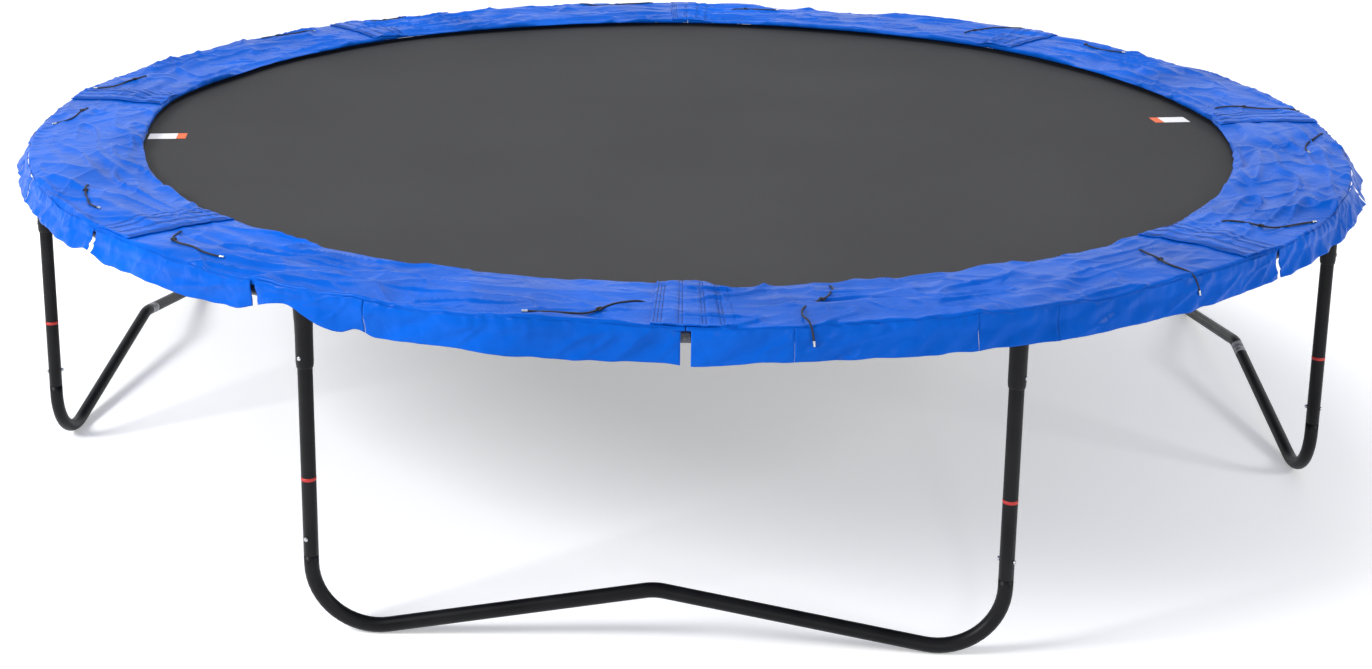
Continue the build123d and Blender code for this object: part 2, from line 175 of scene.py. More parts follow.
def folds(radius, angle):
    """How far the vinyl stands above its plain shape: long folds, sharp creases, puckers."""
    s, t = (np.asarray(angle, float) % 360) * ARC, np.asarray(radius, float) - PAD_INNER
    slack = 0.75 + 0.55 * noise(s / 420, t / 260, 2)
    long_fold = noise(s / 300 + 0.8 * noise(s / 260, t / 150, 3),
                      t / 66 + 1.3 * noise(s / 230, t / 110, 4), 5)
    crease = (1 - np.abs(noise(s / 190 + t / 210, t / 50 + s / 800, 6))) ** 5
    cross = (1 - np.abs(noise(s / 110 - t / 90, t / 150 + s / 260, 12))) ** 6
    height = slack * (17.0 * long_fold + 14.0 * (crease - 0.3) + 6.0 * (cross - 0.25)
                      + 0.3 * noise(s / 26, t / 20, 7))
    height = height + 4.0 * np.exp(-(PAD_OUTER - PAD_INNER - t) / 24) * noise(s / 22, t / 70, 8)
    height = height + 2.6 * np.exp(-t / 18) * noise(s / 38, t / 60, 9)
    # tight and flat where sections are sewn, with short folds pulled out from the stitching
    nearest = 1000.0
    for edge in FLAP_EDGES:
        away = np.abs(away_from(angle, edge))
        nearest = np.minimum(nearest, away)
        height = height * (1 - 0.72 * np.exp(-(away / 105) ** 2))
        height = height + 3.0 * np.exp(-((away - 140) / 75) ** 2) * noise(s / 150, t / 19, 10)
    # the ties lie near the seams, where the cover is flatter
    limit = 7.0 + 11.0 * (1 - np.exp(-(nearest / 520) ** 2))
    return limit * np.tanh(height / limit)


def flap_side(i):
    """+1 where a seam's flap belongs to the section that ends there, -1 to the one that starts."""
    return 1 if FLAP_EDGES[i] > COVER_SEAMS[i] else -1


def cover_top(radius, angle):
    """Height of the finished cover, flaps included."""
    height = plain_cover(radius) + folds(radius, angle)
    for i, edge in enumerate(FLAP_EDGES):
        inside = -away_from(angle, edge) * flap_side(i)
        on_flap = np.clip(inside / 2, 0, 1)
        height = height + FLAP_LIFT * on_flap * np.clip((FLAP_WIDTH - inside) / FLAP_TAPER, 0, 1)
    return height


def skirt_radius(angle, fall):
    """The skirt hangs nearly straight at the front and back and flares at the two sides; fall
    goes from 0 at its top to 1 at its hem."""
    s = (np.asarray(angle, float) % 360) * RIM_ARC
    flare = 3 + 40 * np.abs(np.cos(np.radians(angle))) ** 4
    drape = (1 - np.abs(noise(s / 75 + fall * 1.3, fall * 1.4 + s / 240, 58))) ** 4
    return (PAD_OUTER + 1.0 + flare * fall ** 1.2 + 2.6 * np.sin(pi * np.clip(fall * 2.2, 0, 1))
            + 3.2 * np.exp(-fall * 4) * noise(s / 16, fall * 2, 52)
            + fall * (6.0 * noise(s / 150, fall, 53) + 3.5 * noise(s / 50, fall * 1.5, 54))
            + 4.6 * noise(s / 52 + fall * 1.8, fall * 1.7, 55) + 0.9 * noise(s / 18, fall * 3, 56)
            + 6.0 * np.sin(pi * np.clip(fall, 0, 1)) * (drape - 0.3))


# distance in from the cover's outer edge, angle, lift above the cover
TIES = [
    [(172, -90.7, -8), (164, -91.1, 6), (144, -91.9, 6), (104, -93.0, 6), (58, -94.2, 6),
     (42, -95.6, 6), (38, -97.0, 6), (22, -98.2, 6)],
    [(308, -77.0, -8), (296, -76.8, 6), (260, -77.0, 6), (226, -77.5, 6), (188, -77.9, 6), (144, -79.2, 6),
     (94, -80.4, 6), (46, -80.6, 6), (4, -80.4, 8), (-8, -80.2, -16), (-7, -80.1, -46)],
    [(244, -49.2, -8), (232, -49.4, 6), (200, -49.9, 6), (146, -50.8, 6), (92, -51.7, 6),
     (44, -52.0, 6), (4, -51.8, 8), (-8, -51.6, -16), (-7, -51.4, -44)],
    [(228, -37.9, -8), (216, -37.8, 6), (188, -37.5, 6), (138, -37.6, 6), (90, -37.0, 6),
     (64, -35.6, 6), (46, -34.1, 6), (22, -32.8, 6)],
    [(22, -3.0, -8), (30, -3.4, 6), (46, -4.2, 6), (70, -5.5, 6), (98, -6.9, 6),
     (114, -8.4, 6), (122, -9.9, 6), (116, -11.2, 6)],
    [(284, 7.2, -8), (274, 7.5, 6), (246, 7.9, 6), (200, 7.4, 6), (152, 6.6, 6),
     (102, 5.8, 6), (50, 5.5, 6), (10, 5.1, 6)],
    [(26, 40.4, -8), (38, 40.2, 6), (66, 39.8, 6), (104, 38.7, 6), (106, 37.1, 6),
     (88, 35.6, 6), (54, 34.4, 6)],
    [(224, 54.2, -8), (212, 54.0, 6), (184, 53.8, 6), (132, 53.2, 6), (86, 52.0, 6),
     (50, 50.6, 6), (22, 49.2, 6)],
    [(154, 86.2, -8), (150, 85.8, 6), (138, 84.9, 6), (130, 83.3, 6), (134, 81.6, 6),
     (124, 80.0, 6)],
    [(20, 105.4, -8), (24, 105.0, 6), (36, 104.1, 6), (52, 102.6, 6), (54, 100.9, 6),
     (44, 99.2, 6), (40, 97.5, 6), (26, 96.0, 6)],
    [(14, 132.0, -8), (20, 131.6, 6), (38, 130.9, 6), (60, 129.6, 6), (50, 128.0, 6),
     (28, 126.6, 6), (44, 125.2, 6)],
    [(20, 147.4, -8), (28, 147.1, 6), (52, 146.4, 6), (92, 145.3, 6), (106, 143.7, 6),
     (98, 142.0, 6), (80, 140.6, 6)],
    [(128, 169.8, -8), (124, 170.2, 6), (114, 171.1, 6), (98, 172.7, 6), (86, 174.4, 6),
     (68, 175.8, 6), (32, 176.6, 6)],
    [(104, -175.9, -8), (106, -175.5, 6), (108, -174.6, 6), (98, -173.0, 6), (104, -171.3, 6),
     (88, -169.9, 6), (42, -169.7, 6)],
    [(130, -147.6, -8), (124, -147.2, 6), (112, -146.3, 6), (94, -144.7, 6), (84, -143.0, 6),
     (68, -141.4, 6), (76, -139.8, 6)],
    [(158, -130.6, -8), (148, -130.3, 6), (126, -129.7, 6), (86, -128.8, 6), (60, -127.3, 6),
     (70, -125.6, 6), (60, -124.0, 6), (72, -122.6, 6)],
]
CORD_RADIUS = 2.5


def node(material, kind, inputs=None, to=None, stops=None, **settings):
    """Adds one shader node. An input is a value or a socket, to is the socket that its first
    output feeds, and stops are the places and hex colours of a colour ramp."""
    made = material.node_tree.nodes.new("ShaderNode" + kind)
    for key, value in settings.items():
        setattr(made, key, value)
    for stop, (place, code) in enumerate(stops or ()):
        made.color_ramp.elements[stop].position = place
        made.color_ramp.elements[stop].color = colour(code)
    for key, value in (inputs or {}).items():
        if isinstance(value, bpy.types.NodeSocket):
            material.node_tree.links.new(value, made.inputs[key])
        else:
            made.inputs[key].default_value = value
    if to is not None:
        material.node_tree.links.new(made.outputs[0], to)
    return made


# Braided polyester over rubber: matt, with a fine diagonal weave.
braid, braid_shader = new_material("braided black elastic", "#17171A", 0.75)
place = node(braid, "TexCoord").outputs["Object"]
weave = node(braid, "TexWave", {"Vector": place, "Scale": 420.0, "Distortion": 2.0},
             bands_direction="DIAGONAL")
node(braid, "ValToRGB", {"Fac": weave.outputs["Fac"]}, braid_shader.inputs["Base Color"],
     ((0.0, "#0C0C0E"), (1.0, "#2A2A2E")))
node(braid, "Bump", {"Height": weave.outputs["Fac"], "Strength": 0.5, "Distance": 0.0005},
     to=braid_shader.inputs["Normal"])
# Tinned steel, crimped, so it's dull where it was squeezed.
crimp, crimp_shader = new_material("crimped tin tip", "#C9C9C6", 0.35, 1.0)
place = node(crimp, "TexCoord").outputs["Object"]
specks = node(crimp, "TexNoise", {"Vector": place, "Scale": 900.0})
node(crimp, "MapRange", {"Value": specks.outputs["Fac"], "To Min": 0.25, "To Max": 0.5},
     to=crimp_shader.inputs["Roughness"])


def turned(outline, matrix=None, sides=32):
    """Spins a closed outline of (radius, height) round an upright line, then places it."""
    bm = bmesh.new()
    verts = [bm.verts.new((r, 0, z)) for r, z in outline]
    edges = [bm.edges.new(pair) for pair in zip(verts, verts[1:] + verts[:1])]
    bmesh.ops.spin(bm, geom=verts + edges, cent=(0, 0, 0), axis=(0, 0, 1), angle=2 * pi, steps=sides,
                   use_merge=True)
    if matrix is not None:
        bmesh.ops.transform(bm, matrix=matrix, verts=bm.verts[:])
    return bm


def pointing(place, direction):
    """A matrix that stands an upright thing at a place, pointing along a direction."""
    return Matrix.Translation(Vector(place)) @ Vector(direction).to_track_quat("Z", "Y").to_matrix().to_4x4()


def add_curve(name, points, radius, cyclic=False, material=None):
    """A smooth round line through or near its points, in millimetres."""
    curve = bpy.data.curves.new(name, "CURVE")
    curve.dimensions = "3D"
    curve.bevel_depth = radius * MM
    curve.bevel_resolution = 3
    curve.resolution_u = 6
    curve.use_fill_caps = not cyclic
    spline = curve.splines.new("NURBS")
    spline.points.add(len(points) - 1)
    for point, at in zip(spline.points, points):
        point.co = (*(np.asarray(at) * MM), 1.0)
    spline.use_cyclic_u = cyclic
    spline.order_u = 3
    spline.use_endpoint_u = not cyclic
    curve.materials.append(material)
    made = bpy.data.objects.new(name, curve)
    scene.collection.objects.link(made)
    return made


for i, bends in enumerate(TIES):
    points = []
    for inset, angle, lift in bends:
        radius = PAD_OUTER - inset
        # the first bend is where the tie comes through the vinyl, the last may hang over the edge
        height = float(plain_cover(radius)) + lift
        if lift == 6:
            height = float(cover_top(radius, angle)) + 3.2
        if inset < 0:
            hanging = float(skirt_radius(angle, (SKIRT_TOP - height) / SKIRT_HANG)) + 4
            radius = max(radius, min(radius + 7, hanging))
        points.append(polar(radius, angle, height))
    tie = add_curve(f"tie_cord_{i + 1}", points, CORD_RADIUS, material=braid)
    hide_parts(f"tie_cord_{i + 1}")
    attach(tie, "frame")

    half = len(points) // 2
    knot_place = (points[half] + points[half - 1]) / 2
    knot_turn = radians(bends[half][1] + 25 * i)
    loops = []
    for t in np.linspace(0, 2 * pi, 24, endpoint=False):
        x, y = sin(t) + 2 * sin(2 * t), cos(t) - 2 * cos(2 * t)
        loops.append(knot_place + np.array((2.4 * (x * cos(knot_turn) - y * sin(knot_turn)),
                                            2.0 * (x * sin(knot_turn) + y * cos(knot_turn)),
                                            1.0 - 2.0 * sin(3 * t))))
    knot = add_curve(f"cord_knot_{i + 1}", loops, 2.3, cyclic=True, material=braid)
    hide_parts("cord_knots")
    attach(knot, "frame")

    tip = add_piece(f"cord_tip_{i + 1}", turned(
        [(0.3, -8), (2.6, -8), (3.2, -7.4), (3.2, -3), (2.8, -2), (2.8, 2), (3.2, 3), (3.2, 5.4), (2.4, 6),
         (0.3, 6)], pointing(points[-1], points[-1] - points[-2]), 12), [crimp])
    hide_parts("cord_tips")
    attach(tip, "frame")

# ---------------------------------------------------------------- legs
# Black powder-coated 38 mm steel tube: four W-shaped bases bent from one length each, and
# eight straight uprights that push on to their swaged ends.
RING_RADIUS, RING_HEIGHT, TUBE = 2115.0, 890.0, 19.0
POST_SPREAD = 24.3
LEG_MIDDLES = [-90.0, 0.0, 90.0, 180.0]
POSTS = [m + s * POST_SPREAD for m in LEG_MIDDLES for s in (-1, 1)]
JOINT_HEIGHT, UPRIGHT_TOP = 208.0, 866.0
FOOT_BEND, MIDDLE_BEND, MIDDLE_RISE = 165.0, 140.0, 145.0

# Powder coat: satin, with a faint orange peel.
powder, powder_shader = new_material("black powder coat", "#0E0E10", 0.4, Specular_IOR_Level=0.16)
place = node(powder, "TexCoord").outputs["Object"]
peel = node(powder, "TexNoise", {"Vector": place, "Scale": 650.0, "Detail": 2.0})
cloud = node(powder, "TexNoise", {"Vector": place, "Scale": 9.0, "Detail": 4.0})
node(powder, "ValToRGB", {"Fac": cloud.outputs["Fac"]}, powder_shader.inputs["Base Color"],
     ((0.35, "#0B0B0D"), (0.75, "#17171A")))
node(powder, "MapRange", {"Value": cloud.outputs["Fac"], "To Min": 0.34, "To Max": 0.5},
     to=powder_shader.inputs["Roughness"])
node(powder, "Bump", {"Height": peel.outputs["Fac"], "Strength": 0.25, "Distance": 0.0006},
     to=powder_shader.inputs["Normal"])


def upright_at(place):
    return Matrix.Translation(Vector(place))


def ring_of(bm, place, axis, radius, sides):
    """The edges of a circle round an axis, the open end of a new tube."""
    made = bmesh.ops.create_circle(bm, segments=sides, radius=radius, matrix=pointing(place, axis))
    return list({e for v in made["verts"] for e in v.link_edges})


def run_on(bm, edges, by):
    """Carries a tube's open end straight on."""
    made = bmesh.ops.extrude_edge_only(bm, edges=edges)["geom"]
    bmesh.ops.translate(bm, vec=Vector(by), verts=[g for g in made if isinstance(g, bmesh.types.BMVert)])
    return [g for g in made if isinstance(g, bmesh.types.BMEdge) and g.is_boundary]


def bent_tube(bm, corners, bends, radius, sides=32, steps=12, capped=True):
    """A round tube of straight runs and bends, as it comes out of a tube bender."""
    corners = [Vector(c) for c in corners]
    at = corners[0]
    edges = ring_of(bm, at, corners[1] - at, radius, sides)
    if capped:
        bmesh.ops.contextual_create(bm, geom=edges)
    for before, here, after, bend in zip(corners, corners[1:], corners[2:], bends):
        a, b = (here - before).normalized(), (after - here).normalized()
        turn = a.angle(b)
        axis = a.cross(b).normalized()
        start = here - a * bend * tan(turn / 2)
        if (start - at).length > 0.01:
            edges = run_on(bm, edges, start - at)
        made = bmesh.ops.spin(bm, geom=edges, cent=start + axis.cross(a) * bend, axis=axis, angle=turn,
                              steps=steps)
        edges = [g for g in made["geom_last"] if isinstance(g, bmesh.types.BMEdge)]
        at = here + b * bend * tan(turn / 2)
    edges = run_on(bm, edges, corners[-1] - at)
    if capped:
        bmesh.ops.contextual_create(bm, geom=edges)


for i, post in enumerate(POSTS):
    bm = turned([(17.5, JOINT_HEIGHT + 0.8), (17.9, JOINT_HEIGHT), (18.5, JOINT_HEIGHT),
                 (19.0, JOINT_HEIGHT + 0.7), (19.0, 400.0), (19.0, 640.0), (19.0, UPRIGHT_TOP - 0.7),
                 (18.5, UPRIGHT_TOP), (17.9, UPRIGHT_TOP), (17.5, UPRIGHT_TOP - 0.8), (17.5, 600.0)],
                upright_at(polar(RING_RADIUS, post)), 40)
    upright = add_piece(f"upright_{i + 1}", bm, [powder])
    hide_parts(f"upright_{i + 1}")
    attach(upright, "frame")

# each foot bends a little past a right angle, and its underside just touches the ground
half_run = RING_RADIUS * sin(radians(POST_SPREAD))
middle_radius = RING_RADIUS * cos(radians(POST_SPREAD))
rise = MIDDLE_RISE
for _ in range(20):
    foot_turn = pi / 2 + atan2(rise, half_run)
    corner_height = TUBE - FOOT_BEND * (tan(foot_turn / 2) - 1)
    rise = MIDDLE_RISE - corner_height
for i, middle in enumerate(LEG_MIDDLES):
    ends = [middle - POST_SPREAD, middle + POST_SPREAD]
    bm = bmesh.new()
    bent_tube(bm, [polar(RING_RADIUS, ends[0], JOINT_HEIGHT - 0.5),
                   polar(RING_RADIUS, ends[0], corner_height),
                   polar(middle_radius, middle, MIDDLE_RISE),
                   polar(RING_RADIUS, ends[1], corner_height),
                   polar(RING_RADIUS, ends[1], JOINT_HEIGHT - 0.5)],
              [FOOT_BEND, MIDDLE_BEND, FOOT_BEND], TUBE, 32, 16)
    for end in ends:
        bmesh.ops.create_cone(bm, cap_ends=True, segments=32, radius1=17.3, radius2=17.3, depth=105,
                              matrix=upright_at(polar(RING_RADIUS, end, 247.5)))
    base = add_piece(f"base_{i + 1}", bm, [powder])
    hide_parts(f"base_{i + 1}")
    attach(base, "frame")

# ---------------------------------------------------------------- top ring
# Eight curved galvanised tubes pushed into each other, each with a black socket welded on
# and twelve holes punched in its inner wall for the springs.
# Hot-dip zinc that has dulled: grey, with faint spangles about 9 mm across.
zinc_tube, zinc_tube_shader = new_material("galvanised tube", "#5C5E61", 0.5, 0.8)
place = node(zinc_tube, "TexCoord").outputs["Object"]
spangle = node(zinc_tube, "TexVoronoi", {"Vector": place, "Scale": 110.0})
node(zinc_tube, "ValToRGB", {"Fac": spangle.outputs["Distance"]}, zinc_tube_shader.inputs["Base Color"],
     ((0.0, "#6A6C70"), (1.0, "#4A4C50")))
node(zinc_tube, "MapRange", {"Value": spangle.outputs["Distance"], "To Min": 0.4, "To Max": 0.65},
     to=zinc_tube_shader.inputs["Roughness"])
# near-black material for the spring holes: painted shade standing for the dark inside of each hole
painted_hole_shade, _ = new_material("punched hole, in shadow", "#050506", 0.9)


def put_in(whole, part, slot=None):
    """Adds one bmesh to another, with a material slot unless its faces have theirs."""
    if slot is not None:
        for face in part.faces:
            face.material_index = slot
    loose = bpy.data.meshes.new("part")
    part.to_mesh(loose)
    whole.from_mesh(loose)
    bpy.data.meshes.remove(loose)
    part.free()


for i in range(8):
    start = -90.0 + 45.0 * i
    post = start + (POST_SPREAD if i % 2 == 0 else 45.0 - POST_SPREAD)
    bm = bmesh.new()
    for first, sweep_angle, radius, steps in ((start + 0.01, 44.98, TUBE, 40), (start + 44.9, 1.7, 17.3, 3)):
        edges = ring_of(bm, polar(RING_RADIUS, first, RING_HEIGHT), polar(1, first + 90), radius, 28)
        bmesh.ops.contextual_create(bm, geom=edges)
        made = bmesh.ops.spin(bm, geom=edges, cent=(0, 0, RING_HEIGHT), axis=(0, 0, 1),
                              angle=radians(sweep_angle), steps=steps)["geom_last"]
        bmesh.ops.contextual_create(bm, geom=[g for g in made if isinstance(g, bmesh.types.BMEdge)])
    centre = polar(RING_RADIUS, post)
    put_in(bm, turned([(19.3, 728), (19.3, 711), (19.8, 710), (20.6, 710.4), (21.9, 716), (22.5, 726),
                       (22.5, 795), (23.2, 825), (24.8, 852), (25.5, 866), (25.2, 879), (23.5, 882),
                       (18, 882), (17, 868), (19.3, 866)], upright_at(centre), 40), 1)
    # the weld bead round the top of the socket, uneven as weld is
    bead = turned([(24.3 + 2.4 * cos(t), 881.5 + 2.4 * sin(t)) for t in np.linspace(0, 2 * pi, 9)[:-1]],
                  upright_at(centre), 60)
    for v in bead.verts:
        turn = atan2(v.co.y - centre[1], v.co.x - centre[0])
        v.co.z += 0.8 * sin(9 * turn) + 0.4 * sin(23 * turn)
    put_in(bm, bead, 1)
    # each spring hole is a flat near-black disc on the tube's inner wall, painted shade in place of a real
    # opening
    holes = bmesh.new()
    for k in range(12):
        at = start + 45.0 * (k + 0.5) / 12
        bmesh.ops.create_circle(holes, cap_ends=True, segments=10, radius=4.2,
                                matrix=pointing(polar(RING_RADIUS - 19.15, at, 887.0), -polar(1, at)))
    put_in(bm, holes, 2)
    section = add_piece(f"ring_section_{i + 1}", bm, [zinc_tube, powder, painted_hole_shade])
    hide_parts(f"ring_section_{i + 1}")
    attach(section, "frame")

# ---------------------------------------------------------------- screws, bolts and bands
# A zinc-plated screw in every socket, a bolt and nut through every joint of upright and
# base, and a band of red tape round each upright.
# Bright zinc plate: mirror-like, with soft clouding from the bath.
zinc, zinc_shader = new_material("bright zinc plate", "#B9BBBE", 0.3, 1.0)
place = node(zinc, "TexCoord").outputs["Object"]
cloud = node(zinc, "TexNoise", {"Vector": place, "Scale": 300.0, "Detail": 3.0})
node(zinc, "MapRange", {"Value": cloud.outputs["Fac"], "To Min": 0.2, "To Max": 0.45},
     to=zinc_shader.inputs["Roughness"])
red_tape, red_shader = new_material("red tape", "#B4231D", 0.5)
place = node(red_tape, "TexCoord").outputs["Object"]
cloud = node(red_tape, "TexNoise", {"Vector": place, "Scale": 160.0})
node(red_tape, "ValToRGB", {"Fac": cloud.outputs["Fac"]}, red_shader.inputs["Base Color"],
     ((0.0, "#9E1A16"), (1.0, "#C42A22")))

SCREW_HEIGHT, BOLT_HEIGHT, BAND_HEIGHT = 739.0, 256.0, 416.0
screws, bolts, bands = bmesh.new(), bmesh.new(), bmesh.new()
for i, post in enumerate(POSTS):
    # the front right upright was put together with its bolts turned a little
    out = polar(1, post + (36.0 if i == 1 else 0.0))
    foot = polar(RING_RADIUS, post)
    put_in(screws, turned([(0.3, 13), (1.4, 13), (2.4, 15), (2.4, 22.2), (5.4, 22.4), (5.4, 23.6),
                           (4.0, 24.8), (1.2, 25.5), (0.3, 25.4)],
                          pointing(foot + np.array((0, 0, SCREW_HEIGHT)), out), 16))
    axle = pointing(foot + np.array((0, 0, BOLT_HEIGHT)), out)
    put_in(bolts, turned([(0.3, -26), (2.4, -26), (2.9, -25.4), (2.9, 19), (5.9, 19.1), (6.0, 20.6),
                          (4.6, 22.4), (2.2, 23), (0.3, 23)], axle, 16))
    nut = bmesh.new()
    bmesh.ops.create_cone(nut, cap_ends=True, segments=6, radius1=6.2, radius2=6.2, depth=4.9,
                          matrix=axle @ Matrix.Translation((0, 0, -21.6)))
    bmesh.ops.bevel(nut, geom=nut.edges[:], offset=0.4, affect="EDGES", segments=1, profile=0.5, material=-1)
    put_in(bolts, nut)
    put_in(bands, turned([(19.05, BAND_HEIGHT - 4.5), (19.4, BAND_HEIGHT - 4.4), (19.4, BAND_HEIGHT + 4.4),
                          (19.05, BAND_HEIGHT + 4.5)], upright_at(foot), 40))
for name, bm, material, slot in (("socket_screws", screws, zinc, "zinc_plate"),
                                 ("base_bolts", bolts, zinc, "zinc_plate"),
                                 ("red_bands", bands, red_tape, "red_tape")):
    piece = add_piece(name, bm, [material], smooth=name != "base_bolts")
    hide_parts(name)
    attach(piece, "frame")

# ---------------------------------------------------------------- blank leg stickers
# Pale paper stickers wrapped part way round two of the base bars, with nothing on them.
sticker, sticker_shader = new_material("worn paper sticker", "#9A9B9E", 0.55)
place = node(sticker, "TexCoord").outputs["Object"]
wear = node(sticker, "TexNoise", {"Vector": place, "Scale": 60.0, "Detail": 5.0})
node(sticker, "ValToRGB", {"Fac": wear.outputs["Fac"]}, sticker_shader.inputs["Base Color"],
     ((0.4, "#6E6F73"), (0.62, "#B4B5B8")))
bm = bmesh.new()
for middle, side, distance in ((0.0, -1, 30.0), (180.0, -1, 26.0)):
    bend = Vector(polar(middle_radius, middle, MIDDLE_RISE))
    along = (Vector(polar(RING_RADIUS, middle + side * POST_SPREAD, corner_height)) - bend).normalized()
    sideways = along.cross(Vector((0, 0, 1))).normalized()
    upward = sideways.cross(along)
    first_way = sideways * cos(radians(32)) - upward * sin(radians(32))
    rim = [bm.verts.new(bend + along * (distance + d) + first_way * r)
           for d, r in ((0, 19.05), (0, 19.4), (62, 19.4), (62, 19.05))]
    edges = [bm.edges.new(pair) for pair in zip(rim, rim[1:] + rim[:1])]
    bmesh.ops.contextual_create(bm, geom=edges)
    axis = sideways.cross(upward).normalized()
    made = bmesh.ops.spin(bm, geom=edges, cent=bend, axis=axis, angle=radians(244), steps=24)["geom_last"]
    bmesh.ops.contextual_create(bm, geom=[g for g in made if isinstance(g, bmesh.types.BMEdge)])
piece = add_piece("leg_stickers", bm, [sticker])
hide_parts("leg_stickers")
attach(piece, "frame")

# ---------------------------------------------------------------- jumping mat
# Woven black polypropylene, 3.7 m across, that sags a little under its own weight.
MAT_TOP, MAT_RADIUS = 884.0, 1872.0
# The weave is about 1 mm in life; here it's drawn 6 mm wide, as fine as shows.
woven, woven_shader = new_material("woven polypropylene", "#29292B", 0.7, Specular_IOR_Level=0.16)
place = node(woven, "TexCoord").outputs["Object"]
warp = node(woven, "TexWave", {"Vector": place, "Scale": 160.0}, bands_direction="X")
weft = node(woven, "TexWave", {"Vector": place, "Scale": 160.0}, bands_direction="Y")
both = node(woven, "Math", {0: warp.outputs["Fac"], 1: weft.outputs["Fac"]}, operation="MULTIPLY")
cloud = node(woven, "TexNoise", {"Vector": place, "Scale": 1.6, "Detail": 5.0})
mixed = node(woven, "Math", {0: both.outputs[0], 1: cloud.outputs["Fac"]}, operation="ADD")
shade = node(woven, "Math", {0: mixed.outputs[0], 1: 0.55}, operation="MULTIPLY")
node(woven, "ValToRGB", {"Fac": shade.outputs[0]}, woven_shader.inputs["Base Color"],
     ((0.15, "#272729"), (0.85, "#373739")))
node(woven, "Bump", {"Height": both.outputs[0], "Strength": 0.35, "Distance": 0.0006},
     to=woven_shader.inputs["Normal"])


def mat_height(radius):
    return MAT_TOP - 0.3 - 13.0 * (1 - (radius / MAT_RADIUS) ** 2)


def thicken(bm, thickness, outward):
    """Gives a single-sided cloth its thickness, on the side away from a direction."""
    bm.normal_update()
    if sum(f.normal.dot(outward(f.calc_center_median())) for f in bm.faces) < 0:
        bmesh.ops.reverse_faces(bm, faces=bm.faces[:])
    bm.normal_update()
    bmesh.ops.solidify(bm, geom=bm.faces[:], thickness=thickness)


def upwards(centre):
    return Vector((0, 0, 1))


bm = bmesh.new()
spoke = [bm.verts.new((r, 0, 0)) for r in [0.0, *np.linspace(60, 1800, 30), 1846.0, MAT_RADIUS]]
edges = [bm.edges.new(pair) for pair in zip(spoke, spoke[1:])]
bmesh.ops.spin(bm, geom=spoke + edges, cent=(0, 0, 0), axis=(0, 0, 1), angle=2 * pi, steps=240,
               use_merge=True)
bmesh.ops.remove_doubles(bm, verts=bm.verts[:], dist=0.001)
for v in bm.verts:
    radius = hypot(v.co.x, v.co.y)
    v.co.z = mat_height(radius) + 0.5 * float(noise(v.co.x / 300, v.co.y / 300, 20)) * (1 - radius / 1880)
thicken(bm, 2.0, upwards)
mat = add_piece("mat", bm, [woven])
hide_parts("mat")
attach(mat, "mat_panel")

# The mat's edge is bound between two turns of black webbing, sewn over the spring rings.
webbing_cloth, webbing_shader = new_material("black webbing", "#141416", 0.8)
place = node(webbing_cloth, "TexCoord").outputs["Object"]
ribs = node(webbing_cloth, "TexVoronoi", {"Vector": place, "Scale": 420.0})
node(webbing_cloth, "ValToRGB", {"Fac": ribs.outputs["Distance"]}, webbing_shader.inputs["Base Color"],
     ((0.0, "#1B1B1E"), (1.0, "#0A0A0C")))
node(webbing_cloth, "Bump", {"Height": ribs.outputs["Distance"], "Strength": 0.4, "Distance": 0.0006},
     to=webbing_shader.inputs["Normal"])
bm = turned([(1846, 884.2), (1884, 884.9), (1884, 885.9), (1880, 886.3), (1848, 885.8), (1846, 885.3)],
            sides=288)
put_in(bm, turned([(1846, 881.2), (1846, 880.2), (1848, 879.8), (1882, 880.0), (1884, 880.5), (1884, 881.2)],
                  sides=288))
webbing = add_piece("mat_webbing", bm, [webbing_cloth])
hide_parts("mat_webbing")
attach(webbing, "mat_panel")

# Two blank labels sewn on the mat, each with an orange strip at its inner end.
label_cloth, label_shader = new_material("white label cloth", "#DADADC", 0.6)
orange_cloth, orange_shader = new_material("orange label strip", "#D8581E", 0.6)
for material, shader, low, high in ((label_cloth, label_shader, "#C9C9CC", "#E6E6E8"),
                                    (orange_cloth, orange_shader, "#C64C18", "#E2672C")):
    place = node(material, "TexCoord").outputs["Object"]
    weave = node(material, "TexNoise", {"Vector": place, "Scale": 240.0, "Detail": 3.0})
    node(material, "ValToRGB", {"Fac": weave.outputs["Fac"]}, shader.inputs["Base Color"],
         ((0.0, low), (1.0, high)))
LABEL_LENGTH, LABEL_WIDTH, STRIP_INSIDE = 122.0, 72.0, -31.0
bm = bmesh.new()
for angle, radius in ((-168.8, 1740.0), (6.9, 1708.0)):
    place = Matrix.Rotation(radians(angle), 4, "Z") @ Matrix.Translation((radius, 0, 0))
    part = bmesh.new()
    bmesh.ops.create_grid(part, x_segments=16, y_segments=3, size=0.5)
    bmesh.ops.scale(part, vec=(LABEL_LENGTH, LABEL_WIDTH, 1), verts=part.verts[:])
    for face in part.faces:
        face.material_index = 1 if face.calc_center_median().x < STRIP_INSIDE else 0
    bmesh.ops.transform(part, matrix=place, verts=part.verts[:])
    for v in part.verts:
        v.co.z = mat_height(hypot(v.co.x, v.co.y)) + 0.7
    thicken(part, 0.55, upwards)
    put_in(bm, part)
labels = add_piece("mat_labels", bm, [label_cloth, orange_cloth], smooth=False)
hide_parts("mat_labels")
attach(labels, "mat_panel")

